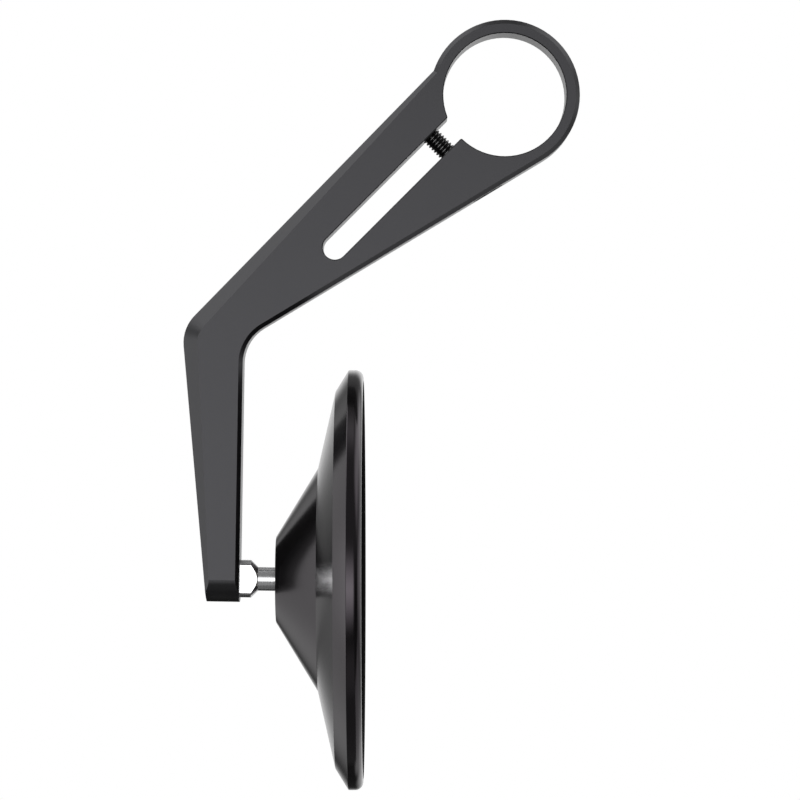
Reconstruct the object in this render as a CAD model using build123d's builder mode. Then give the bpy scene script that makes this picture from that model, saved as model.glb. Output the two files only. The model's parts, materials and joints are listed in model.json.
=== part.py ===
from build123d import *
from math import cos, radians, sin, sqrt, tan
import os

# Motorcycle bar end mirror. The handlebar's axis is Y, the origin is on it, midway through the
# clamp ring. Z is up and the mirror looks along +X. Lengths are in millimetres, angles in degrees.

# Clamp arm: milled from one aluminium bar
BORE_R = 12.7  # fits a 25.4 mm handlebar
RING_R = 15.5
ARM_T = 12.0  # along the handlebar
SPINE_ANGLE = 45.58  # slope of the upper edge
SPINE_OFFSET = 13.96  # from the bore's centre to the upper edge
UNDERSIDE_ANGLE = 31.0  # slope of the lower edge, which is tangent to the ring
LEG_OUTER_LEAN = 5.11  # of the leg's outer edge, from the vertical
LEG_INNER_LEAN = 0.94  # of the leg's inner face, from the vertical
LEG_W = 7.28  # at the stud
LEG_END = 4.8  # from the stud's axis to the leg's end
OUTER_ELBOW_R = 8.0
INNER_ELBOW_R = 8.6
EDGE_CHAMFER = 0.85
SPINE_FACET = 3.05  # the wide chamfer of the outer edges, at the elbow
SPINE_FACET_END = 0.8  # where it runs out, just inside the edge chamfer
LEG_END_R = 5.0  # rounding of the leg's end, seen from the mirror
LEG_END_OVERRUN = 0.01  # the rounding reaches just past the faces
BORE_EDGE = 0.2  # edge break of the bore and the slot

# Slot between the clamp's two jaws
SLOT_ANGLE = 225.0  # from the bore's centre, down and left
SLOT_W = 5.0
SLOT_LENGTH = 47.1  # to the centre of its round end
SLOT_MOUTH_R = 0.35

# Clamp screw: M4 x 16 socket head, square to the slot
SCREW_U = 16.55  # along the slot from the bore's centre
SCREW_R = 1.97
SCREW_LENGTH = 16.0
SCREW_HEAD_R = 3.5
SCREW_HEAD_T = 4.0
SCREW_HEAD_EDGE = 0.35
SCREW_TIP = 0.4
SCREW_SOCKET_AF = 3.0
SCREW_SOCKET_DEPTH = 2.0
HEAD_SEAT_DEPTH = 5.5  # from the slot to the head's seat in the lower jaw
COUNTERBORE_R = 3.6
CLEARANCE_HOLE_R = 2.2
TAPPED_HOLE_R = 2.0
TAPPED_HOLE_DEPTH = 6.5  # from the slot into the upper jaw

# Ball stud, screwed into the leg
STUD_SEAT_X = -54.83
STUD_SEAT_Z = -100.05
STUD_REACH = 14.33  # from the leg to the ball's centre
STUD_THREAD_R = 2.47
STUD_THREAD_LENGTH = 5.5
STUD_HOLE_R = 2.5
STUD_HOLE_DEPTH = 5.8
STUD_TIP = 0.5
COLLAR_R = 3.9
COLLAR_LENGTH = 2.3
COLLAR_FLATS = 5.3  # across the two spanner flats
NECK_R = 2.45
BALL_R = 5.0

# Ball joint: two nylon seats and a pair of disc springs
SEAT_CLEARANCE = 0.03
REAR_SEAT_T = 1.37
REAR_SEAT_SPAN = (52.0, 80.0)  # of the rear seat, from the axis behind the ball
FRONT_SEAT_SPAN = (35.0, 75.0)  # of the front seat, from the axis before the ball
FRONT_SEAT_R = 7.2
HOUSING_CLEARANCE = 0.05
BALL_BORE_R = 7.3
BALL_BORE_STEP = 0.9  # from the ball's centre forward to the wider bore
THROAT_ANGLE = 50.0  # edge of the housing's spherical seat, from the axis behind the ball
SPRING_OUTER_R = 7.0
SPRING_INNER_R = 3.6
SPRING_T = 0.35
SPRING_CONE = 0.17

# Mirror head: sizes along its axis are from the ball's centre, forward is +X
REAR_X = -6.83
REAR_R = 8.9
REAR_HOLE_R = 6.2
CREASE_X = 1.88  # between the steep cone and the flare
CREASE_R = 23.17
FLARE_X = 5.54  # between the flare and the bevel
FLARE_R = 39.14
BEVEL_X = 8.25  # between the bevel and the rim
RIM_R = 43.5
FRONT_X = 11.28
RIM_ROUNDING = 1.7
CREASE_BREAK = 0.25
LIP_R = 40.9  # inner wall of the rim
LIP_CHAMFER = 0.3
WALL = 2.2
LEDGE_R = 36.0  # inner edge of the ledge that the glass is stuck to
BOSS_R = 14.0
BOSS_X = 5.2
POCKET_X = 0.2  # floor of the pocket beside the boss

# Retaining plate and its M3 countersunk screws
PLATE_R = 13.0
PLATE_T = 2.0
PLATE_CHAMFER = 0.3
PLATE_SCREWS = 3
PLATE_SCREW_CIRCLE = 10.5
M3_R = 1.48
M3_HOLE_R = 1.5
M3_HOLE_DEPTH = 5.0
M3_LENGTH = 6.0
M3_CLEARANCE_R = 1.7
M3_HEAD_R = 2.75
M3_SINK_R = 2.85
M3_SOCKET_AF = 2.0
M3_SOCKET_DEPTH = 0.9

# Convex glass on its ring of foam tape
GLASS_R = 40.6
GLASS_T = 1.8
GLASS_RECESS = 1.35  # of the glass's edge behind the rim's front
GLASS_CURVE_R = 1400.0
GLASS_EDGE = 0.3
TAPE_T = 0.5
TAPE_INNER_R = 36.6
TAPE_OUTER_R = 40.2

CUT_MARGIN = 0.7  # how far a cutter reaches past the surface that it cuts


def direction(angle):
    """Unit vector in the XZ plane, counted from +X towards +Z."""
    return Vector(cos(radians(angle)), 0, sin(radians(angle)))


def meet(point_a, angle_a, point_b, angle_b):
    """Crossing of two lines in the XZ plane, each given by a point and an angle."""
    along = direction(angle_a)
    across = direction(angle_b + 90)
    return point_a + along * ((point_b - point_a).dot(across) / along.dot(across))


def flat(point):
    """The XZ plane's own two coordinates of a point."""
    return (point.X, point.Z)


def edge_section(point, inward):
    """Plane across an outline edge: x runs into the arm from the edge, y from the front face back."""
    corner = Vector(point.X, -ARM_T / 2, point.Z)
    return Plane(origin=corner, x_dir=inward, z_dir=(-inward.Z, 0, inward.X))


def facet_triangle(plane, width):
    """Sketch of the wedge that a 45 degree facet of this width takes off the edge."""
    with BuildSketch(plane) as triangle:
        with BuildLine():
            Polyline(
                (-CUT_MARGIN, -CUT_MARGIN),
                (width + CUT_MARGIN, -CUT_MARGIN),
                (-CUT_MARGIN, width + CUT_MARGIN),
                close=True,
            )
        make_face()
    return triangle.sketch


# Lines and corners of the arm's outline
origin = Vector(0, 0, 0)
stud_axis = direction(-LEG_INNER_LEAN)
leg_up = direction(90 - LEG_INNER_LEAN)
spine_out = direction(SPINE_ANGLE + 90)
spine_foot = spine_out * SPINE_OFFSET
underside_tangent = direction(UNDERSIDE_ANGLE - 90) * RING_R
stud_seat = Vector(STUD_SEAT_X, 0, STUD_SEAT_Z)
leg_outer_point = stud_seat - Vector(LEG_W, 0, 0)
leg_outer_angle = 90 + LEG_OUTER_LEAN
leg_end_point = stud_seat - leg_up * LEG_END

ring_corner = spine_foot - direction(SPINE_ANGLE) * sqrt(RING_R**2 - SPINE_OFFSET**2)
ring_corner_angle = Vector(1, 0, 0).get_angle(ring_corner)
outer_elbow = meet(spine_foot, SPINE_ANGLE, leg_outer_point, leg_outer_angle)
inner_elbow = meet(underside_tangent, UNDERSIDE_ANGLE, stud_seat, 90 - LEG_INNER_LEAN)
end_inner = leg_end_point
end_outer = meet(leg_end_point, -LEG_INNER_LEAN, leg_outer_point, leg_outer_angle)

# The outer elbow's arc: where it starts on the spine, where it ends on the leg, and its centre
elbow_turn = leg_outer_angle - SPINE_ANGLE
elbow_tangent = OUTER_ELBOW_R * tan(radians(elbow_turn / 2))
spine_end = outer_elbow + direction(SPINE_ANGLE) * elbow_tangent
leg_start = outer_elbow - direction(leg_outer_angle) * elbow_tangent
elbow_centre = spine_end - spine_out * OUTER_ELBOW_R
leg_inward = direction(leg_outer_angle - 90)

# The wide facet is planar along the spine and the leg, and conical round the elbow
with BuildPart() as facet_cutter:
    loft(
        [
            facet_triangle(edge_section(ring_corner, -spine_out), SPINE_FACET_END),
            facet_triangle(edge_section(spine_end, -spine_out), SPINE_FACET),
        ],
        ruled=True,
    )
    loft(
        [
            facet_triangle(edge_section(leg_start, leg_inward), SPINE_FACET),
            facet_triangle(edge_section(end_outer, leg_inward), SPINE_FACET_END),
        ],
        ruled=True,
    )
    revolve(
        facet_triangle(edge_section(spine_end, -spine_out), SPINE_FACET),
        axis=Axis(elbow_centre, (0, -1, 0)),
        revolution_arc=elbow_turn,
    )
    mirror(about=Plane.XZ)

# Planes of the slot, of the clamp screw and of the stud's seat
slot_along = direction(SLOT_ANGLE)
screw_down = direction(SLOT_ANGLE + 90)
slot_plane = Plane(origin=origin, x_dir=slot_along, z_dir=(0, -1, 0))
screw_plane = Plane(origin=slot_along * SCREW_U, x_dir=(0, 1, 0), z_dir=screw_down)
stud_plane = Plane(origin=stud_seat, x_dir=(0, 1, 0), z_dir=stud_axis)

with BuildPart() as clamp_arm:
    with BuildSketch(Plane.XZ) as outline:
        with BuildLine():
            Polyline(
                flat(ring_corner),
                flat(outer_elbow),
                flat(end_outer),
                flat(end_inner),
                flat(inner_elbow),
                flat(underside_tangent),
            )
            CenterArc((0, 0), RING_R, UNDERSIDE_ANGLE - 90, ring_corner_angle - UNDERSIDE_ANGLE + 90)
        make_face()
        fillet(outline.vertices().sort_by_distance(flat(outer_elbow))[0], OUTER_ELBOW_R)
        fillet(outline.vertices().sort_by_distance(flat(inner_elbow))[0], INNER_ELBOW_R)
    extrude(amount=ARM_T / 2, both=True)
    for face in clamp_arm.faces().filter_by(Axis.Y):
        chamfer(face.outer_wire().edges(), EDGE_CHAMFER)

    add(facet_cutter.part, mode=Mode.SUBTRACT)

    with BuildSketch(slot_plane) as opening:
        Circle(BORE_R)
        Rectangle(SLOT_LENGTH, SLOT_W, align=(Align.MIN, Align.MAX))
        with Locations((SLOT_LENGTH, -SLOT_W / 2)):
            Circle(SLOT_W / 2)
        mouth = opening.vertices().sort_by_distance((BORE_R, -SLOT_W / 2))[:2]
        fillet(mouth, SLOT_MOUTH_R)
    extrude(amount=ARM_T, both=True, mode=Mode.SUBTRACT)
    for face in clamp_arm.faces().filter_by(Axis.Y):
        chamfer(face.inner_wires().edges(), BORE_EDGE)

    with BuildSketch(stud_plane) as end_corners:
        with Locations((ARM_T / 2 - LEG_END_R + LEG_END_OVERRUN, -LEG_END + LEG_END_R - LEG_END_OVERRUN)):
            Rectangle(LEG_END_R + CUT_MARGIN, LEG_END_R + CUT_MARGIN, align=(Align.MIN, Align.MAX))
            Circle(LEG_END_R, mode=Mode.SUBTRACT)
        mirror(about=Plane.YZ)
    extrude(amount=LEG_W * 2, both=True, mode=Mode.SUBTRACT)

    with BuildSketch(stud_plane):
        Circle(STUD_HOLE_R)
    extrude(amount=-STUD_HOLE_DEPTH, mode=Mode.SUBTRACT)

    with BuildSketch(screw_plane.offset(HEAD_SEAT_DEPTH)):
        Circle(COUNTERBORE_R)
    extrude(amount=RING_R, mode=Mode.SUBTRACT)
    with BuildSketch(screw_plane.offset(-SLOT_W / 2)):
        Circle(CLEARANCE_HOLE_R)
    extrude(amount=SLOT_W / 2 + HEAD_SEAT_DEPTH, mode=Mode.SUBTRACT)
    with BuildSketch(screw_plane.offset(-SLOT_W / 2)):
        Circle(TAPPED_HOLE_R)
    extrude(amount=-SLOT_W / 2 - TAPPED_HOLE_DEPTH, mode=Mode.SUBTRACT)

with BuildPart() as clamp_screw:
    with BuildSketch(screw_plane.offset(HEAD_SEAT_DEPTH)):
        Circle(SCREW_HEAD_R)
    extrude(amount=SCREW_HEAD_T)
    head_top = clamp_screw.faces().sort_by(Axis(origin, screw_down))[-1]
    fillet(head_top.edges(), SCREW_HEAD_EDGE)
    with BuildSketch(screw_plane.offset(HEAD_SEAT_DEPTH)):
        Circle(SCREW_R)
    extrude(amount=-SCREW_LENGTH)
    screw_end = clamp_screw.faces().sort_by(Axis(origin, screw_down))[0]
    chamfer(screw_end.edges(), SCREW_TIP)
    with BuildSketch(screw_plane.offset(HEAD_SEAT_DEPTH + SCREW_HEAD_T)):
        RegularPolygon(SCREW_SOCKET_AF / 2, 6, major_radius=False)
    extrude(amount=-SCREW_SOCKET_DEPTH, mode=Mode.SUBTRACT)

# The stud's profile plane has x along its axis, from its seat on the leg
stud_profile_plane = Plane(origin=stud_seat, x_dir=stud_axis, z_dir=(0, -1, 0))
neck_end = STUD_REACH - sqrt(BALL_R**2 - NECK_R**2)

with BuildPart() as ball_stud:
    with BuildSketch(stud_profile_plane):
        with BuildLine():
            Polyline(
                (STUD_REACH + BALL_R, 0),
                (-STUD_THREAD_LENGTH, 0),
                (-STUD_THREAD_LENGTH, STUD_THREAD_R - STUD_TIP),
                (-STUD_THREAD_LENGTH + STUD_TIP, STUD_THREAD_R),
                (0, STUD_THREAD_R),
                (0, COLLAR_R),
                (COLLAR_LENGTH, COLLAR_R),
                (COLLAR_LENGTH + COLLAR_R - NECK_R, NECK_R),
                (neck_end, NECK_R),
            )
            ThreePointArc((neck_end, NECK_R), (STUD_REACH, BALL_R), (STUD_REACH + BALL_R, 0))
        make_face()
    revolve(axis=Axis(stud_seat, stud_axis))
    with BuildSketch(stud_plane):
        Rectangle(4 * COLLAR_R, 4 * COLLAR_R)
        Rectangle(COLLAR_FLATS, 4 * COLLAR_R, mode=Mode.SUBTRACT)
    extrude(amount=COLLAR_LENGTH + COLLAR_R - NECK_R, mode=Mode.SUBTRACT)

# Everything in the head is turned about this axis, through the ball's centre
ball_centre = stud_seat + stud_axis * STUD_REACH
head_axis = Axis(ball_centre, (1, 0, 0))
head_plane = Plane(origin=ball_centre, x_dir=(1, 0, 0), z_dir=(0, -1, 0))
seat_inner_r = BALL_R + SEAT_CLEARANCE
seat_outer_r = seat_inner_r + REAR_SEAT_T
housing_seat_r = seat_outer_r + HOUSING_CLEARANCE


def polar(radius, angle):
    """Point of the head's profile on a circle about the ball, by its angle from the axis."""
    return (radius * cos(radians(angle)), radius * sin(radians(angle)))


with BuildPart() as rear_ball_seat:
    with BuildSketch(head_plane):
        with BuildLine():
            start = 180 - REAR_SEAT_SPAN[1]
            span = REAR_SEAT_SPAN[1] - REAR_SEAT_SPAN[0]
            CenterArc((0, 0), seat_inner_r, start, span)
            CenterArc((0, 0), seat_outer_r, start, span)
            Line(polar(seat_inner_r, start), polar(seat_outer_r, start))
            Line(polar(seat_inner_r, start + span), polar(seat_outer_r, start + span))
        make_face()
    revolve(axis=head_axis)

front_seat_front = polar(seat_inner_r, FRONT_SEAT_SPAN[0])
front_seat_rear = polar(seat_inner_r, FRONT_SEAT_SPAN[1])

with BuildPart() as front_ball_seat:
    with BuildSketch(head_plane):
        with BuildLine():
            CenterArc((0, 0), seat_inner_r, FRONT_SEAT_SPAN[0], FRONT_SEAT_SPAN[1] - FRONT_SEAT_SPAN[0])
            Polyline(
                front_seat_rear,
                (front_seat_rear[0], FRONT_SEAT_R),
                (front_seat_front[0], FRONT_SEAT_R),
                front_seat_front,
            )
        make_face()
    revolve(axis=head_axis)

spring_touch_x = front_seat_front[0] + SPRING_CONE + SPRING_T

with BuildPart() as disc_spring_rear:
    with BuildSketch(head_plane):
        with BuildLine():
            Polyline(
                (front_seat_front[0], SPRING_OUTER_R),
                (front_seat_front[0] + SPRING_T, SPRING_OUTER_R),
                (spring_touch_x, SPRING_INNER_R),
                (spring_touch_x - SPRING_T, SPRING_INNER_R),
                close=True,
            )
        make_face()
    revolve(axis=head_axis)

with BuildPart() as disc_spring_front:
    mirror(disc_spring_rear.part, about=Plane.YZ.offset(ball_centre.X + spring_touch_x))

# Slopes of the cone and the flare, to carry the wall's thickness to the inside
cone_run = Vector(CREASE_X - REAR_X, CREASE_R - REAR_R)
flare_run = Vector(FLARE_X - CREASE_X, FLARE_R - CREASE_R)


def inner_wall_x(r, start_x, start_r, run):
    """Place along the axis of the wall's inside, at a radius, behind a straight outer slope."""
    return start_x + (r - start_r) * run.X / run.Y + WALL * run.length / run.Y


pocket_floor_r = REAR_R + (POCKET_X - inner_wall_x(REAR_R, REAR_X, REAR_R, cone_run)) * cone_run.Y / cone_run.X
cone_wall_at_crease = inner_wall_x(CREASE_R, REAR_X, REAR_R, cone_run)
flare_wall_at_crease = inner_wall_x(CREASE_R, CREASE_X, CREASE_R, flare_run)
slope_gap = cone_run.X / cone_run.Y - flare_run.X / flare_run.Y
inner_crease_r = CREASE_R - (cone_wall_at_crease - flare_wall_at_crease) / slope_gap
inner_crease_x = inner_wall_x(inner_crease_r, REAR_X, REAR_R, cone_run)
ledge_x = FRONT_X - GLASS_RECESS - GLASS_T - TAPE_T
throat = polar(housing_seat_r, 180 - THROAT_ANGLE)

with BuildPart() as mirror_housing:
    with BuildSketch(head_plane) as section:
        with BuildLine():
            Polyline(
                throat,
                (REAR_X, REAR_HOLE_R),
                (REAR_X, REAR_R),
                (CREASE_X, CREASE_R),
                (FLARE_X, FLARE_R),
                (BEVEL_X, RIM_R),
                (FRONT_X, RIM_R),
                (FRONT_X, LIP_R + LIP_CHAMFER),
                (FRONT_X - LIP_CHAMFER, LIP_R),
                (ledge_x, LIP_R),
                (ledge_x, LEDGE_R),
                (inner_wall_x(LEDGE_R, CREASE_X, CREASE_R, flare_run), LEDGE_R),
                (inner_crease_x, inner_crease_r),
                (POCKET_X, pocket_floor_r),
                (POCKET_X, BOSS_R),
                (BOSS_X, BOSS_R),
                (BOSS_X, BALL_BORE_R),
                (BALL_BORE_STEP, BALL_BORE_R),
                (BALL_BORE_STEP, housing_seat_r),
                (0, housing_seat_r),
            )
            CenterArc((0, 0), housing_seat_r, 90, 90 - THROAT_ANGLE)
        make_face()
        fillet(section.vertices().sort_by_distance((FRONT_X, RIM_R))[0], RIM_ROUNDING)
        fillet(section.vertices().sort_by_distance((BEVEL_X, RIM_R))[0], CREASE_BREAK)
        fillet(section.vertices().sort_by_distance((REAR_X, REAR_R))[0], CREASE_BREAK)
    revolve(axis=head_axis)
    with BuildSketch(Plane(origin=ball_centre + Vector(BOSS_X, 0, 0), x_dir=(0, 0, 1), z_dir=(1, 0, 0))):
        with PolarLocations(PLATE_SCREW_CIRCLE, PLATE_SCREWS):
            Circle(M3_HOLE_R)
    extrude(amount=-M3_HOLE_DEPTH, mode=Mode.SUBTRACT)

# The plate's front face, with x upwards and z towards the glass
plate_front = Plane(origin=ball_centre + Vector(BOSS_X + PLATE_T, 0, 0), x_dir=(0, 0, 1), z_dir=(1, 0, 0))

with BuildPart(plate_front) as retaining_plate:
    Cylinder(PLATE_R, PLATE_T, align=(Align.CENTER, Align.CENTER, Align.MAX))
    chamfer(retaining_plate.edges().group_by(Axis.X)[-1], PLATE_CHAMFER)
    with PolarLocations(PLATE_SCREW_CIRCLE, PLATE_SCREWS):
        CounterSinkHole(M3_CLEARANCE_R, M3_SINK_R, depth=PLATE_T, counter_sink_angle=90)

with BuildPart(plate_front) as retaining_screws:
    with PolarLocations(PLATE_SCREW_CIRCLE, PLATE_SCREWS):
        Cone(M3_R, M3_HEAD_R, M3_HEAD_R - M3_R, align=(Align.CENTER, Align.CENTER, Align.MAX))
        Cylinder(M3_R, M3_LENGTH, align=(Align.CENTER, Align.CENTER, Align.MAX))
    with BuildSketch(plate_front):
        with PolarLocations(PLATE_SCREW_CIRCLE, PLATE_SCREWS):
            RegularPolygon(M3_SOCKET_AF / 2, 6, major_radius=False)
    extrude(amount=-M3_SOCKET_DEPTH, mode=Mode.SUBTRACT)

glass_front_x = FRONT_X - GLASS_RECESS
glass_back_x = glass_front_x - GLASS_T


def bulge(r):
    """How far the convex glass stands forward at a radius, counted from its edge."""
    return sqrt(GLASS_CURVE_R**2 - r**2) - sqrt(GLASS_CURVE_R**2 - GLASS_R**2)


with BuildPart() as mirror_glass:
    with BuildSketch(head_plane) as glass_section:
        with BuildLine():
            half_r = GLASS_R / 2
            ThreePointArc(
                (glass_back_x + bulge(0), 0), (glass_back_x + bulge(half_r), half_r), (glass_back_x, GLASS_R)
            )
            Line((glass_back_x, GLASS_R), (glass_front_x, GLASS_R))
            ThreePointArc(
                (glass_front_x, GLASS_R), (glass_front_x + bulge(half_r), half_r), (glass_front_x + bulge(0), 0)
            )
            Line((glass_front_x + bulge(0), 0), (glass_back_x + bulge(0), 0))
        make_face()
        chamfer(glass_section.vertices().sort_by_distance((glass_front_x, GLASS_R))[0], GLASS_EDGE)
    revolve(axis=head_axis)

with BuildPart() as adhesive_ring:
    with BuildSketch(head_plane):
        with BuildLine():
            Polyline(
                (ledge_x, TAPE_INNER_R),
                (glass_back_x + bulge(TAPE_INNER_R), TAPE_INNER_R),
                (glass_back_x + bulge(TAPE_OUTER_R), TAPE_OUTER_R),
                (ledge_x, TAPE_OUTER_R),
                close=True,
            )
        make_face()
    revolve(axis=head_axis)

nodes = {
    "clamp_arm": clamp_arm,
    "clamp_screw": clamp_screw,
    "ball_stud": ball_stud,
    "rear_ball_seat": rear_ball_seat,
    "front_ball_seat": front_ball_seat,
    "disc_spring_rear": disc_spring_rear,
    "disc_spring_front": disc_spring_front,
    "mirror_housing": mirror_housing,
    "retaining_plate": retaining_plate,
    "retaining_screws": retaining_screws,
    "adhesive_ring": adhesive_ring,
    "mirror_glass": mirror_glass,
}
os.makedirs("parts", exist_ok=True)
for name, piece in nodes.items():
    piece.part.label = name
    export_step(piece.part, f"parts/{name}.step")
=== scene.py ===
import json
import math

import bpy
from mathutils import Matrix, Vector


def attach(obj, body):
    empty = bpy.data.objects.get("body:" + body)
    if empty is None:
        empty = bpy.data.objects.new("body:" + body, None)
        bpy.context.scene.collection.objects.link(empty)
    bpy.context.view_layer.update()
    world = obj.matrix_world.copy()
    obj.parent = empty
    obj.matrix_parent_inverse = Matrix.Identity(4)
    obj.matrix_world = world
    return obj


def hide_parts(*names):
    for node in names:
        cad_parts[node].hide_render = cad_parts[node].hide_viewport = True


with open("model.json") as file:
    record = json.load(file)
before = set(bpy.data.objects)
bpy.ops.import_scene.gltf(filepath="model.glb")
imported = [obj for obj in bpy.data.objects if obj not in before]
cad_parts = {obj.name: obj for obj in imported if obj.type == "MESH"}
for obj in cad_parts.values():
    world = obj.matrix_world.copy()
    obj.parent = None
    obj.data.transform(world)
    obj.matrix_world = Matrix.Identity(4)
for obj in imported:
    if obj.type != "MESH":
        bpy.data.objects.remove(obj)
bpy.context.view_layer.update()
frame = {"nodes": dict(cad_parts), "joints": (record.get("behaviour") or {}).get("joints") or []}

MM = 0.001

# Camera: it looks level along the handlebar, from the left bar end
CAMERA_PLACE = Vector((-19.35, -851.3, -62.985)) * MM
CAMERA_LENS = 184.5
CAMERA_SENSOR = 36.0
CAMERA_SHIFT = -0.01384  # the frame lies a little to the left of the lens's axis
CAMERA_CLIP = (0.01, 20.0)

# Clamp screw, M4 x 16, square to the slot: heights run down its axis from the slot's lower wall
SLOT_ANGLE = math.radians(225.0)
SCREW_ALONG_SLOT = 16.55 * MM
SCREW_SEAT = 5.5 * MM
SCREW_LENGTH = 16.0 * MM
SCREW_TIP_CHAMFER = 0.4 * MM
SCREW_HEAD_R = 3.5 * MM
SCREW_HEAD_T = 4.0 * MM
SCREW_HEAD_EDGE = 0.35 * MM
SCREW_HEAD_STEPS = 4  # rows of faces in the head's rounded edge
SOCKET_AF = 3.0 * MM
SOCKET_DEPTH = 2.0 * MM
SOCKET_EDGE = 0.12 * MM
SOCKET_DRILL = 0.5 * MM
THREAD_R = 1.97 * MM
THREAD_ROOT_R = 1.54 * MM
THREAD_PITCH = 0.7 * MM
THREAD_CREST = 0.26  # share of the pitch that is flat at the crest
THREAD_STEPS = 16  # rows of faces in one pitch
SCREW_SIDES = 60  # a multiple of six, so that the socket's corners are vertices
SCREW_SHARP = math.radians(35)  # an edge that bends more than this isn't shaded smooth

# Mirror housing, turned about an axis along X: places along the axis are from the ball's centre
REAR_X, REAR_R = -6.83 * MM, 8.9 * MM
REAR_HOLE_R = 6.2 * MM
CREASE_X, CREASE_R = 1.88 * MM, 23.17 * MM  # between the steep cone and the flare
FLARE_X, FLARE_R = 5.54 * MM, 39.14 * MM  # between the flare and the bevel
BEVEL_X, RIM_R = 8.25 * MM, 43.5 * MM
FRONT_X = 11.28 * MM
RIM_ROUNDING = 1.7 * MM
CREASE_BREAK = 0.25 * MM
LIP_R = 40.9 * MM
LIP_CHAMFER = 0.3 * MM
LEDGE_X, LEDGE_R = 7.63 * MM, 36.0 * MM  # the ledge that the glass is stuck to
WALL = 2.2 * MM
POCKET_X = 0.2 * MM
BOSS_X, BOSS_R = 5.2 * MM, 14.0 * MM
BALL_BORE_R = 7.3 * MM
BALL_BORE_STEP = 0.9 * MM
BALL_SEAT_R = 6.45 * MM
SEAT_ANGLES = (90.0, 130.0)  # of the spherical seat's two edges, from the axis before the ball
PLATE_SCREWS = 3
PLATE_SCREW_CIRCLE = 10.5 * MM
SCREW_HOLE_R = 1.5 * MM
SCREW_HOLE_DEPTH = 5.0 * MM
HOUSING_SIDES = 720
DRILL_SIDES = 32
ARC_STEP = 5.0  # degrees between two rows of a rounding
TURNED_SHARP = math.radians(12)  # as SCREW_SHARP, for the housing and the glass

# Convex mirror glass
GLASS_R = 40.6 * MM
GLASS_T = 1.8 * MM
GLASS_RECESS = 1.35 * MM  # of the glass's edge behind the rim's front
GLASS_CURVE_R = 1400.0 * MM
GLASS_EDGE = 0.3 * MM
GLASS_ROWS = 12  # from the middle to the edge

# Finishes
USUAL_IOR = 1.5
NO_TINT = (1.0, 1.0, 1.0)
NOISE_RANGE = (0.3, 0.7)  # most of a noise texture's values
CLOUD_SCALE = 90.0  # of the blasted finish's uneven tone
BLASTED_BUMP, FINE_BUMP = 0.25, 0.2  # strengths of the bump
RINGS_GLOSS = (0.9, 1.1)  # shares of a turned finish's roughness, from ring to ring
SPECKS_GLOSS = (0.85, 1.15)  # the same for a speckled finish

# Light: the two rises are sines of the elevations between which the surroundings get lighter
LIGHT_TARGET = Vector((-30, 0, -70)) * MM
ROOM_RISE = (-0.2, 0.4)
SHARP_RISE = (-0.4, 0.1)
FLOOR_SPREAD = 0.03

head_centre = Vector(next(j["pos_m"] for j in frame["joints"] if j["name"] == "mirror_spin"))


def node_tree(name):
    """A new material with an empty node tree that holds only its output."""
    material = bpy.data.materials.new(name)
    material.use_nodes = True
    tree = material.node_tree
    tree.nodes.clear()
    output = tree.nodes.new("ShaderNodeOutputMaterial")
    return material, tree, output


def add_node(tree, kind, **values):
    """A node of this kind, with its properties or its input sockets set by name."""
    node = tree.nodes.new(kind)
    for key, value in values.items():
        if key in node.inputs:
            node.inputs[key].default_value = value
        else:
            setattr(node, key, value)
    return node


def math_node(tree, operation, *sources):
    """A Math node over these sources, each a socket or a number."""
    node = add_node(tree, "ShaderNodeMath", operation=operation)
    for number, source in enumerate(sources):
        if isinstance(source, float):
            node.inputs[number].default_value = source
        else:
            tree.links.new(source, node.inputs[number])
    return node.outputs["Value"]


def ramp_between(tree, source, limits, values, smooth=False):
    """Maps a number from between two limits to between two values."""
    node = add_node(tree, "ShaderNodeMapRange")
    for key, value in zip(("From Min", "From Max", "To Min", "To Max"), (*limits, *values)):
        node.inputs[key].default_value = value
    if smooth:
        node.interpolation_type = "SMOOTHSTEP"
    tree.links.new(source, node.inputs["Value"])
    return node.outputs["Result"]


def principled(tree, output, **sockets):
    shader = tree.nodes.new("ShaderNodeBsdfPrincipled")
    for key, value in sockets.items():
        shader.inputs[key].default_value = value
    tree.links.new(shader.outputs["BSDF"], output.inputs["Surface"])
    return shader


def vary(tree, shader, clouds, grain, tones, rough, strength, depth):
    """Lets one noise vary a shader's colour between two tones, and another its gloss and its bump."""
    tone = add_node(tree, "ShaderNodeMix", data_type="RGBA")
    tone.inputs["A"].default_value = (*tones[0], 1.0)
    tone.inputs["B"].default_value = (*tones[1], 1.0)
    tree.links.new(clouds.outputs["Fac"], tone.inputs["Factor"])
    tree.links.new(tone.outputs["Result"], shader.inputs["Base Color"])
    gloss = ramp_between(tree, grain.outputs["Fac"], NOISE_RANGE, rough)
    tree.links.new(gloss, shader.inputs["Roughness"])
    bump = add_node(tree, "ShaderNodeBump", Strength=strength, Distance=depth)
    tree.links.new(grain.outputs["Fac"], bump.inputs["Height"])
    tree.links.new(bump.outputs["Normal"], shader.inputs["Normal"])


def tones_about(color, spread):
    """A darker and a lighter tone of a colour."""
    return [[min(1.0, part * share) for part in color] for share in (1 - spread, 1 + spread)]


def blasted_anodised(name, tones, rough, grain, depth, tint):
    """Anodised aluminium over a fine blasted surface: cloudy tone, uneven gloss and a fine grain."""
    material, tree, output = node_tree(name)
    shader = principled(tree, output, **{"IOR": USUAL_IOR, "Specular Tint": (*tint, 1.0)})
    place = add_node(tree, "ShaderNodeTexCoord").outputs["Object"]
    clouds = add_node(tree, "ShaderNodeTexNoise", Scale=CLOUD_SCALE, Detail=3.0, Roughness=0.55)
    fine = add_node(tree, "ShaderNodeTexNoise", Scale=grain, Detail=2.0, Roughness=0.6)
    for texture in (clouds, fine):
        tree.links.new(place, texture.inputs["Vector"])
    vary(tree, shader, clouds, fine, tones, rough, BLASTED_BUMP, depth)
    return material


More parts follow.
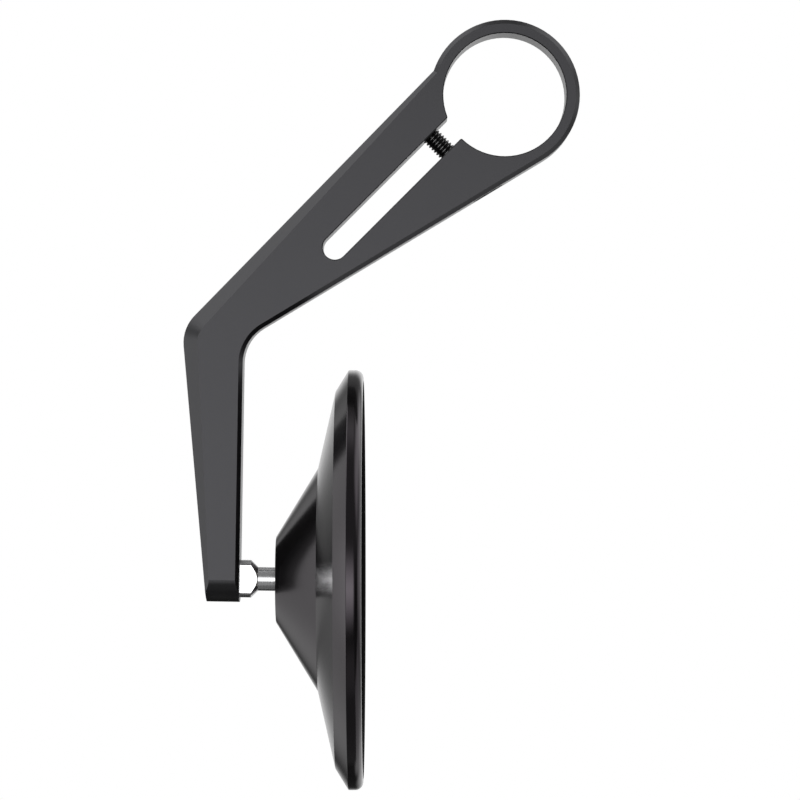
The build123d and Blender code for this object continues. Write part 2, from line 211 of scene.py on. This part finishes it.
def turned_metal(name, color, rough, pitch, depth, metallic=0.0, spread=0.15, tint=NO_TINT):
    """A surface turned on a lathe: fine rings about the mirror head's axis."""
    material, tree, output = node_tree(name)
    sockets = {"IOR": USUAL_IOR, "Metallic": metallic, "Specular Tint": (*tint, 1.0)}
    shader = principled(tree, output, **sockets)
    place = add_node(tree, "ShaderNodeTexCoord").outputs["Object"]
    from_centre = add_node(tree, "ShaderNodeVectorMath", operation="SUBTRACT")
    tree.links.new(place, from_centre.inputs[0])
    from_centre.inputs[1].default_value = head_centre
    split = add_node(tree, "ShaderNodeSeparateXYZ")
    tree.links.new(from_centre.outputs["Vector"], split.inputs["Vector"])
    radial = add_node(tree, "ShaderNodeCombineXYZ")
    for axis in ("Y", "Z"):
        tree.links.new(split.outputs[axis], radial.inputs[axis])
    radius = add_node(tree, "ShaderNodeVectorMath", operation="LENGTH")
    tree.links.new(radial.outputs["Vector"], radius.inputs[0])
    profile = math_node(tree, "ADD", split.outputs["X"], radius.outputs["Value"])
    rings = add_node(tree, "ShaderNodeTexNoise", noise_dimensions="1D", Scale=1.0 / pitch, Detail=3.0)
    tree.links.new(profile, rings.inputs["W"])
    gloss = [rough * share for share in RINGS_GLOSS]
    vary(tree, shader, rings, rings, tones_about(color, spread), gloss, FINE_BUMP, depth)
    return material


def speckled(name, color, rough, scale, depth, metallic=0.0, spread=0.2, ior=USUAL_IOR):
    """A plain finish with a fine uneven tone, gloss and surface."""
    material, tree, output = node_tree(name)
    shader = principled(tree, output, **{"IOR": ior, "Metallic": metallic})
    place = add_node(tree, "ShaderNodeTexCoord").outputs["Object"]
    noise = add_node(tree, "ShaderNodeTexNoise", Scale=scale, Detail=4.0)
    tree.links.new(place, noise.inputs["Vector"])
    gloss = [rough * share for share in SPECKS_GLOSS]
    vary(tree, shader, noise, noise, tones_about(color, spread), gloss, FINE_BUMP, depth)
    return material


def dress(node, material):
    """Gives a CAD node this material only."""
    slots = frame["nodes"][node].data.materials
    slots.clear()
    slots.append(material)


arm_black = blasted_anodised(
    "arm_anodised",
    tones=((0.004, 0.004, 0.0042), (0.007, 0.007, 0.0073)),
    rough=(0.28, 0.34),
    grain=5200.0,
    depth=0.01 * MM,
    tint=(0.945, 0.94, 1.0),
)
head_black = turned_metal(
    "head_anodised",
    (0.0036, 0.0034, 0.0036),
    rough=0.16,
    pitch=0.12 * MM,
    depth=0.0004 * MM,
    tint=(1.0, 0.88, 0.99),
)
screw_black = speckled(
    "screw_black", (0.004, 0.004, 0.004), rough=0.14, scale=2500.0, depth=0.002 * MM, ior=1.8
)
stud_steel = turned_metal(
    "stud_steel",
    (0.82, 0.82, 0.83),
    rough=0.26,
    pitch=0.12 * MM,
    depth=0.0002 * MM,
    metallic=1.0,
    spread=0.04,
)
nylon = speckled("nylon", (0.62, 0.60, 0.54), rough=0.45, scale=1500.0, depth=0.01 * MM)
spring_steel = turned_metal(
    "spring_steel", (0.42, 0.42, 0.44), rough=0.3, pitch=0.3 * MM, depth=0.005 * MM, metallic=1.0
)
plate_steel = turned_metal(
    "plate_steel", (0.55, 0.55, 0.57), rough=0.32, pitch=0.3 * MM, depth=0.005 * MM, metallic=1.0
)
# Painted shade: a dull, barely reflecting finish that darkens the glass recess, standing in for the shade
# cast there by the rim
recess_painted_shade = speckled(
    "recess_painted_shade", (0.004, 0.004, 0.004), rough=0.8, scale=3000.0, depth=0.01 * MM, ior=1.2
)
foam_tape = speckled("foam_tape", (0.03, 0.03, 0.03), rough=0.8, scale=3000.0, depth=0.03 * MM)
mirror = speckled(
    "mirror", (0.6, 0.605, 0.615), rough=0.0, scale=40.0, depth=0.0, metallic=1.0, spread=0.03
)

for node, material in {
    "clamp_arm": arm_black,
    "clamp_screw": screw_black,
    "ball_stud": stud_steel,
    "rear_ball_seat": nylon,
    "front_ball_seat": nylon,
    "disc_spring_rear": spring_steel,
    "disc_spring_front": spring_steel,
    "mirror_housing": head_black,
    "retaining_plate": plate_steel,
    "retaining_screws": screw_black,
    "adhesive_ring": foam_tape,
    "mirror_glass": mirror,
}.items():
    dress(node, material)


def place_object(name, data):
    thing = bpy.data.objects.new(name, data)
    bpy.context.scene.collection.objects.link(thing)
    return thing


def smooth_mesh(mesh, sharp):
    """Shades a mesh smooth, apart from edges that bend more than an angle."""
    mesh.shade_smooth()
    mesh.set_sharp_from_angle(angle=sharp)


def thread_radius(turn):
    """Radius of the thread at a place counted in pitches: a flat crest, and flanks that meet at the root."""
    flank = (1.0 - THREAD_CREST) / 2
    from_crest = abs((turn + 0.5) % 1.0 - 0.5)
    depth = (from_crest - THREAD_CREST / 2) / flank
    return THREAD_R - (THREAD_R - THREAD_ROOT_R) * min(1.0, max(0.0, depth))


def screw_rows():
    """Rows of (height, radius) from the tip to the socket's bottom; a radius is a function of the turn."""
    tip = SCREW_SEAT - SCREW_LENGTH
    top = SCREW_SEAT + SCREW_HEAD_T

    def thread(height):
        chamfer = THREAD_R - SCREW_TIP_CHAMFER + (height - tip)
        return lambda turn: min(chamfer, thread_radius(height / THREAD_PITCH - turn))

    def circle(radius):
        return lambda turn: radius

    def hexagon(turn):
        return SOCKET_AF / 2 / math.cos((turn * 6 % 1.0 - 0.5) * math.radians(60))

    rows = []
    count = round(SCREW_LENGTH / THREAD_PITCH * THREAD_STEPS)
    for step in range(count + 1):
        height = tip + SCREW_LENGTH * step / count
        rows.append((height, thread(height)))
    rows.append((SCREW_SEAT, circle(SCREW_HEAD_R - SOCKET_EDGE)))
    rows.append((SCREW_SEAT + SOCKET_EDGE, circle(SCREW_HEAD_R)))
    for step in range(SCREW_HEAD_STEPS + 1):
        bend = math.radians(90) * step / SCREW_HEAD_STEPS
        height = top - SCREW_HEAD_EDGE * (1 - math.sin(bend))
        rows.append((height, circle(SCREW_HEAD_R - SCREW_HEAD_EDGE * (1 - math.cos(bend)))))
    socket_corner = SOCKET_AF / 2 / math.cos(math.radians(30))
    rows.append((top, circle(socket_corner + SOCKET_EDGE)))
    rows.append((top - SOCKET_EDGE, hexagon))
    rows.append((top - SOCKET_DEPTH, hexagon))
    return rows


def make_clamp_screw():
    """The clamp screw with its helical thread, its rounded head and its hexagon socket."""
    rows = screw_rows()
    vertices = [(0.0, 0.0, rows[0][0])]
    for height, radius in rows:
        for side in range(SCREW_SIDES):
            turn = side / SCREW_SIDES
            angle = math.tau * turn
            vertices.append((radius(turn) * math.cos(angle), radius(turn) * math.sin(angle), height))
    vertices.append((0.0, 0.0, rows[-1][0] - SOCKET_DRILL))
    last = len(vertices) - 1
    faces = []
    for row in range(len(rows)):
        for side in range(SCREW_SIDES):
            here = 1 + row * SCREW_SIDES + side
            beside = 1 + row * SCREW_SIDES + (side + 1) % SCREW_SIDES
            if row == 0:
                faces.append((0, beside, here))
            if row + 1 < len(rows):
                faces.append((here, beside, beside + SCREW_SIDES, here + SCREW_SIDES))
            else:
                faces.append((here, beside, last))
    mesh = bpy.data.meshes.new("clamp_screw_threaded")
    mesh.from_pydata(vertices, [], faces)
    along = Vector((math.cos(SLOT_ANGLE), 0, math.sin(SLOT_ANGLE)))
    down = Vector((-along.z, 0, along.x))
    upright = Matrix((along, down.cross(along), down)).transposed().to_4x4()
    mesh.transform(Matrix.Translation(along * SCREW_ALONG_SLOT) @ upright)
    smooth_mesh(mesh, SCREW_SHARP)
    mesh.materials.append(screw_black)
    screw = place_object("clamp_screw_threaded", mesh)
    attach(screw, "arm")
    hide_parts("clamp_screw")


def rounded_rows(corners):
    """Rows of (place, radius) along corners of (place, radius, rounding), with arcs at the rounded ones."""
    rows = []
    for number, (place, radius, rounding) in enumerate(corners):
        corner = Vector((place, radius))
        if rounding == 0:
            rows.append(corner)
            continue
        before = (corner - Vector(corners[number - 1][:2])).normalized()
        after = (Vector(corners[number + 1][:2]) - corner).normalized()
        bend = before.angle_signed(after)
        start = corner - before * rounding * math.tan(abs(bend) / 2)
        inward = Vector((-before.y, before.x)) * math.copysign(rounding, -bend)
        steps = math.ceil(math.degrees(abs(bend)) / ARC_STEP)
        for step in range(steps + 1):
            rows.append(start + inward - Matrix.Rotation(-bend * step / steps, 2) @ inward)
    return rows


def housing_rows():
    """The housing's section: the outside to the lip, then the glass recess, the pocket and the ball seat."""
    cone = (CREASE_X - REAR_X) / (CREASE_R - REAR_R)
    flare = (FLARE_X - CREASE_X) / (FLARE_R - CREASE_R)
    cone_start = REAR_X - cone * REAR_R + WALL * math.hypot(1, cone)
    flare_start = CREASE_X - flare * CREASE_R + WALL * math.hypot(1, flare)
    inner_crease_r = (flare_start - cone_start) / (cone - flare)
    rows = rounded_rows([
        (REAR_X, REAR_HOLE_R, 0),
        (REAR_X, REAR_R, CREASE_BREAK),
        (CREASE_X, CREASE_R, 0),
        (FLARE_X, FLARE_R, 0),
        (BEVEL_X, RIM_R, CREASE_BREAK),
        (FRONT_X, RIM_R, RIM_ROUNDING),
        (FRONT_X, LIP_R + LIP_CHAMFER, 0),
        (FRONT_X - LIP_CHAMFER, LIP_R, 0),
        (LEDGE_X, LIP_R, 0),
        (LEDGE_X, LEDGE_R, 0),
        (flare_start + flare * LEDGE_R, LEDGE_R, 0),
        (cone_start + cone * inner_crease_r, inner_crease_r, 0),
        (POCKET_X, (POCKET_X - cone_start) / cone, 0),
        (POCKET_X, BOSS_R, 0),
        (BOSS_X, BOSS_R, 0),
        (BOSS_X, BALL_BORE_R, 0),
        (BALL_BORE_STEP, BALL_BORE_R, 0),
        (BALL_BORE_STEP, BALL_SEAT_R, 0),
    ])
    first, last = SEAT_ANGLES
    steps = math.ceil((last - first) / ARC_STEP)
    for step in range(steps + 1):
        angle = math.radians(first + (last - first) * step / steps)
        rows.append(Vector((math.cos(angle), math.sin(angle))) * BALL_SEAT_R)
    return rows


def around_axis(name, rows, sides, closed):
    """A mesh turned about the X axis from rows of (place, radius).

    A closed one joins its last row to its first, and an open one has a flat face at each end.
    """
    vertices = []
    for place, radius in rows:
        for side in range(sides):
            angle = math.tau * side / sides
            vertices.append((place, radius * math.cos(angle), radius * math.sin(angle)))
    faces = []
    for row in range(len(rows) if closed else len(rows) - 1):
        for side in range(sides):
            here, beside = row * sides + side, row * sides + (side + 1) % sides
            ahead, across = [(index + sides) % len(vertices) for index in (here, beside)]
            faces.append((here, beside, across, ahead))
    if not closed:
        faces.append(tuple(reversed(range(sides))))
        faces.append(tuple(range(len(vertices) - sides, len(vertices))))
    mesh = bpy.data.meshes.new(name)
    mesh.from_pydata(vertices, [], faces)
    return mesh


def make_housing():
    """The mirror housing as a smooth turned shell, with the blind holes for the plate's screws."""
    mesh = around_axis("housing_shell", housing_rows(), HOUSING_SIDES, True)
    mesh.materials.append(head_black)
    housing = place_object("mirror_housing_turned", mesh)
    hole = [(BOSS_X - SCREW_HOLE_DEPTH, SCREW_HOLE_R), (BOSS_X + WALL, SCREW_HOLE_R)]
    drill = around_axis("drill", hole, DRILL_SIDES, False)
    drill.transform(Matrix.Rotation(math.pi / DRILL_SIDES, 4, "X"))  # no corner on an edge of the boss
    for number in range(PLATE_SCREWS):
        cutter_mesh = drill.copy()
        turn = Matrix.Rotation(math.tau * number / PLATE_SCREWS, 4, "X")
        cutter_mesh.transform(turn @ Matrix.Translation((0, 0, PLATE_SCREW_CIRCLE)))
        cutter = place_object("drill", cutter_mesh)
        cut = housing.modifiers.new("screw_hole", "BOOLEAN")
        cut.operation = "DIFFERENCE"
        cut.solver = "EXACT"
        cut.object = cutter
        bpy.context.view_layer.update()
        drilled = housing.evaluated_get(bpy.context.evaluated_depsgraph_get())
        mesh = bpy.data.meshes.new_from_object(drilled)
        housing.modifiers.clear()
        housing.data = mesh
        bpy.data.objects.remove(cutter)
    mesh.name = "mirror_housing_turned"
    # The ledge, the lip's inner wall and its chamfer take the dull finish: painted shade in the glass recess
    mesh.materials.append(recess_painted_shade)
    for face in mesh.polygons:
        radius = math.hypot(face.center.y, face.center.z)
        if face.center.x > LEDGE_X - CREASE_BREAK and LEDGE_R < radius < LIP_R + LIP_CHAMFER:
            face.material_index = 1
    mesh.transform(Matrix.Translation(head_centre))
    smooth_mesh(mesh, TURNED_SHARP)
    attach(housing, "head")
    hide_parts("mirror_housing")


def make_glass():
    """The round convex glass, with its front edge bevelled."""
    front = FRONT_X - GLASS_RECESS
    front_r = GLASS_R - GLASS_EDGE

    def bulge(radius):
        return math.sqrt(GLASS_CURVE_R**2 - radius**2) - math.sqrt(GLASS_CURVE_R**2 - GLASS_R**2)

    rows = []
    for step in range(1, GLASS_ROWS + 1):
        radius = GLASS_R * step / GLASS_ROWS
        rows.append((front - GLASS_T + bulge(radius), radius))
    rows.append((front - GLASS_EDGE, GLASS_R))
    for step in range(GLASS_ROWS, 0, -1):
        radius = front_r * step / GLASS_ROWS
        rows.append((front + bulge(radius), radius))
    mesh = around_axis("mirror_glass_convex", rows, HOUSING_SIDES, False)
    mesh.transform(Matrix.Translation(head_centre))
    smooth_mesh(mesh, TURNED_SHARP)
    mesh.materials.append(mirror)
    glass = place_object("mirror_glass_convex", mesh)
    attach(glass, "head")
    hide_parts("mirror_glass")


def make_camera():
    data = bpy.data.cameras.new("camera")
    data.sensor_fit = "HORIZONTAL"
    data.sensor_width = CAMERA_SENSOR
    data.lens = CAMERA_LENS
    data.shift_x = CAMERA_SHIFT
    data.clip_start, data.clip_end = CAMERA_CLIP
    camera = place_object("camera", data)
    camera.location = CAMERA_PLACE
    camera.rotation_euler = (math.radians(90), 0, 0)
    bpy.context.scene.camera = camera


def direction(azimuth, elevation):
    """A unit vector by its angles: azimuth 0 is the camera's side, 90 the right."""
    turn, rise = math.radians(azimuth), math.radians(elevation)
    return Vector((math.sin(turn) * math.cos(rise), -math.cos(turn) * math.cos(rise), math.sin(rise)))


def softbox(name, place, size, radiance, edge):
    """A rectangular soft light aimed at the object from a place of (azimuth, elevation, distance).

    It fades to nothing over a length along its edges.
    """
    azimuth, elevation, distance = place
    width, height = size
    away = direction(azimuth, elevation)
    data = bpy.data.lights.new(name, "AREA")
    data.shape = "RECTANGLE"
    data.size = width
    data.size_y = height
    data.energy = radiance * math.pi * width * height
    data.use_nodes = True
    tree = data.node_tree
    tree.nodes.clear()
    output = tree.nodes.new("ShaderNodeOutputLight")
    glow = add_node(tree, "ShaderNodeEmission", Color=(1, 1, 1, 1))
    split = tree.nodes.new("ShaderNodeSeparateXYZ")
    tree.links.new(tree.nodes.new("ShaderNodeNewGeometry").outputs["Parametric"], split.inputs["Vector"])
    fades = []
    for axis, length in (("X", width), ("Y", height)):
        from_edge = math_node(tree, "PINGPONG", split.outputs[axis], 0.5)
        fades.append(ramp_between(tree, from_edge, (0.0, edge / length), (0.0, 1.0), smooth=True))
    tree.links.new(math_node(tree, "MULTIPLY", *fades), glow.inputs["Strength"])
    tree.links.new(glow.outputs["Emission"], output.inputs["Surface"])
    light = place_object(name, data)
    light.location = LIGHT_TARGET + away * distance
    light.rotation_euler = (-away).to_track_quat("-Z", "Y").to_euler()


def make_world(fill, room, sharp_room, backdrop, behind, outer, low, core):
    """White to the camera, and an even fill to surfaces that scatter light.

    Reflections see a room, by its two levels below and above, and in one direction a white backdrop.
    That has the level called behind in its middle. It fades out to the sides at an outer angle, and
    downwards from a core elevation to a low one. A perfectly sharp mirror sees a plain room of its own.
    """
    world = bpy.data.worlds.new("studio")
    bpy.context.scene.world = world
    world.use_nodes = True
    tree = world.node_tree
    tree.nodes.clear()
    output = tree.nodes.new("ShaderNodeOutputWorld")
    paths = tree.nodes.new("ShaderNodeLightPath")
    place = tree.nodes.new("ShaderNodeTexCoord")
    split = tree.nodes.new("ShaderNodeSeparateXYZ")
    tree.links.new(place.outputs["Generated"], split.inputs["Vector"])
    height = split.outputs["Z"]
    facing = add_node(tree, "ShaderNodeVectorMath", operation="DOT_PRODUCT")
    tree.links.new(place.outputs["Generated"], facing.inputs[0])
    facing.inputs[1].default_value = backdrop
    around = (math.cos(math.radians(outer)), 1.0)
    sideways = ramp_between(tree, facing.outputs["Value"], around, (0.0, behind), smooth=True)
    rise = (math.sin(math.radians(low)), math.sin(math.radians(core)))
    upwards = ramp_between(tree, height, rise, (0.0, 1.0))
    dim = ramp_between(tree, height, ROOM_RISE, room, smooth=True)
    sharp = add_node(tree, "ShaderNodeMix", data_type="FLOAT")
    tree.links.new(paths.outputs["Is Singular Ray"], sharp.inputs["Factor"])
    tree.links.new(math_node(tree, "MULTIPLY_ADD", sideways, upwards, dim), sharp.inputs["A"])
    tree.links.new(ramp_between(tree, height, SHARP_RISE, sharp_room), sharp.inputs["B"])
    white = add_node(tree, "ShaderNodeBackground", Color=(1, 1, 1, 1), Strength=1.0)
    ambient = add_node(tree, "ShaderNodeBackground", Color=(1, 1, 1, 1), Strength=fill)
    mirrored = add_node(tree, "ShaderNodeBackground", Color=(1, 1, 1, 1))
    tree.links.new(sharp.outputs["Result"], mirrored.inputs["Strength"])
    seen = math_node(tree, "MAXIMUM", paths.outputs["Is Glossy Ray"], paths.outputs["Is Transmission Ray"])
    lit = tree.nodes.new("ShaderNodeMixShader")
    tree.links.new(seen, lit.inputs["Fac"])
    tree.links.new(ambient.outputs["Background"], lit.inputs[1])
    tree.links.new(mirrored.outputs["Background"], lit.inputs[2])
    shown = tree.nodes.new("ShaderNodeMixShader")
    tree.links.new(paths.outputs["Is Camera Ray"], shown.inputs["Fac"])
    tree.links.new(lit.outputs["Shader"], shown.inputs[1])
    tree.links.new(white.outputs["Background"], shown.inputs[2])
    tree.links.new(shown.outputs["Shader"], output.inputs["Surface"])


def make_floor(level, size, tone, bounce):
    """A pale floor to the camera, which sends little light back up to the object."""
    mesh = bpy.data.meshes.new("floor")
    half = size / 2
    corners = [(-half, -half, level), (half, -half, level), (half, half, level), (-half, half, level)]
    mesh.from_pydata(corners, [], [(0, 1, 2, 3)])
    floor = place_object("floor", mesh)
    material, tree, output = node_tree("floor")
    shader = principled(tree, output, **{"Roughness": 0.9, "Specular IOR Level": 0.0})
    place = add_node(tree, "ShaderNodeTexCoord").outputs["Object"]
    clouds = add_node(tree, "ShaderNodeTexNoise", Scale=6.0, Detail=4.0)
    tree.links.new(place, clouds.inputs["Vector"])
    tones = (tone * (1 - FLOOR_SPREAD), tone * (1 + FLOOR_SPREAD))
    pale = ramp_between(tree, clouds.outputs["Fac"], NOISE_RANGE, tones)
    shade = add_node(tree, "ShaderNodeMix", data_type="RGBA")
    shade.inputs["A"].default_value = (bounce, bounce, bounce, 1.0)
    tree.links.new(add_node(tree, "ShaderNodeLightPath").outputs["Is Camera Ray"], shade.inputs["Factor"])
    tree.links.new(pale, shade.inputs["B"])
    tree.links.new(shade.outputs["Result"], shader.inputs["Base Color"])
    mesh.materials.append(material)


make_clamp_screw()
make_housing()
make_glass()
make_camera()
make_world(
    fill=0.3,
    room=(0.027, 0.2),
    sharp_room=(0.2, 0.6),
    backdrop=direction(176, 1),
    behind=1.0,
    outer=28,
    low=-24,
    core=-6,
)
make_floor(level=-1.7, size=1.6, tone=0.82, bounce=0.14)
softbox("front_box", place=(-15.5, -3.9, 2.0), size=(3.7, 1.97), radiance=3.8, edge=1.23)
softbox("upper_left_box", place=(-103, 52, 1.6), size=(2.6, 1.9), radiance=1.69, edge=0.59)
softbox("left_box", place=(-99.5, -4.5, 1.7), size=(1.12, 1.43), radiance=1.22, edge=0.29)
softbox("back_left_box", place=(-118.5, -10, 1.7), size=(3.15, 3.6), radiance=0.72, edge=1.2)
softbox("upper_right_box", place=(87, 48.5, 1.6), size=(2.86, 2.21), radiance=1.62, edge=0.98)
softbox("right_box", place=(104, 0.6, 1.7), size=(3.2, 1.68), radiance=1.2, edge=0.89)
softbox("lower_right_box", place=(106, -48, 1.7), size=(3.0, 2.3), radiance=0.78, edge=0.7)
softbox("low_front_box", place=(0, -50, 1.8), size=(2.0, 1.5), radiance=0.25, edge=0.6)
softbox("back_right_box", place=(131, 25, 1.7), size=(1.44, 1.46), radiance=1.4, edge=0.69)
softbox("top_box", place=(10, 89, 1.8), size=(0.9, 1.24), radiance=0.83, edge=0.63)
softbox("rear_right_box", place=(152, -24, 1.7), size=(1.5, 1.3), radiance=0.8, edge=0.6)
bpy.context.scene.view_settings.view_transform = "Standard"
